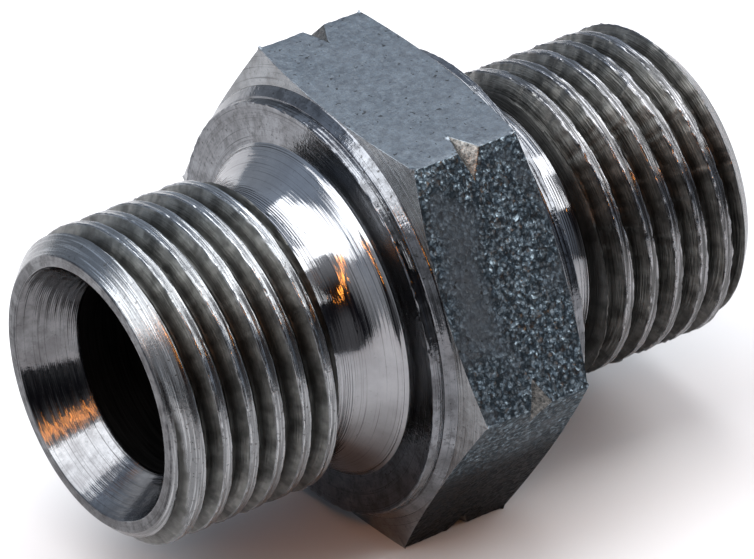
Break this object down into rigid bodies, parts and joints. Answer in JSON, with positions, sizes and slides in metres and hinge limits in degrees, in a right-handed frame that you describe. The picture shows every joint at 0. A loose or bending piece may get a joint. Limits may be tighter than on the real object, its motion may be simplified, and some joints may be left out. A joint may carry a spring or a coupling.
{
  "type": "hex nipple",
  "caption": "Double-ended male pipe nipple with a hexagon between two parallel threads, a through bore and a 60 degree cone seat in each end.",
  "frame": {"origin": "on the nipple's axis, halfway between the two end faces", "axes": "+X along the axis from the front end to the rear end, +Z normal to a hexagon flat, +Y towards a hexagon corner"},
  "size_m": [0.034, 0.0254, 0.022],
  "materials": {
    "threaded_steel": "zinc-plated, thread-cut, burred crests",
    "turned_steel": "zinc-plated, fine turned",
    "hex_steel": "zinc-plated, satin drawn flats with crystalline mottling"
  },
  "bodies": {
    "root": {"front_threaded_end": "threaded_steel", "front_relief_neck": "turned_steel", "front_sealing_collar": "turned_steel", "hex_body": "hex_steel", "rear_sealing_collar": "turned_steel", "rear_relief_neck": "turned_steel", "rear_threaded_end": "threaded_steel"}
  },
  "joints": []
}
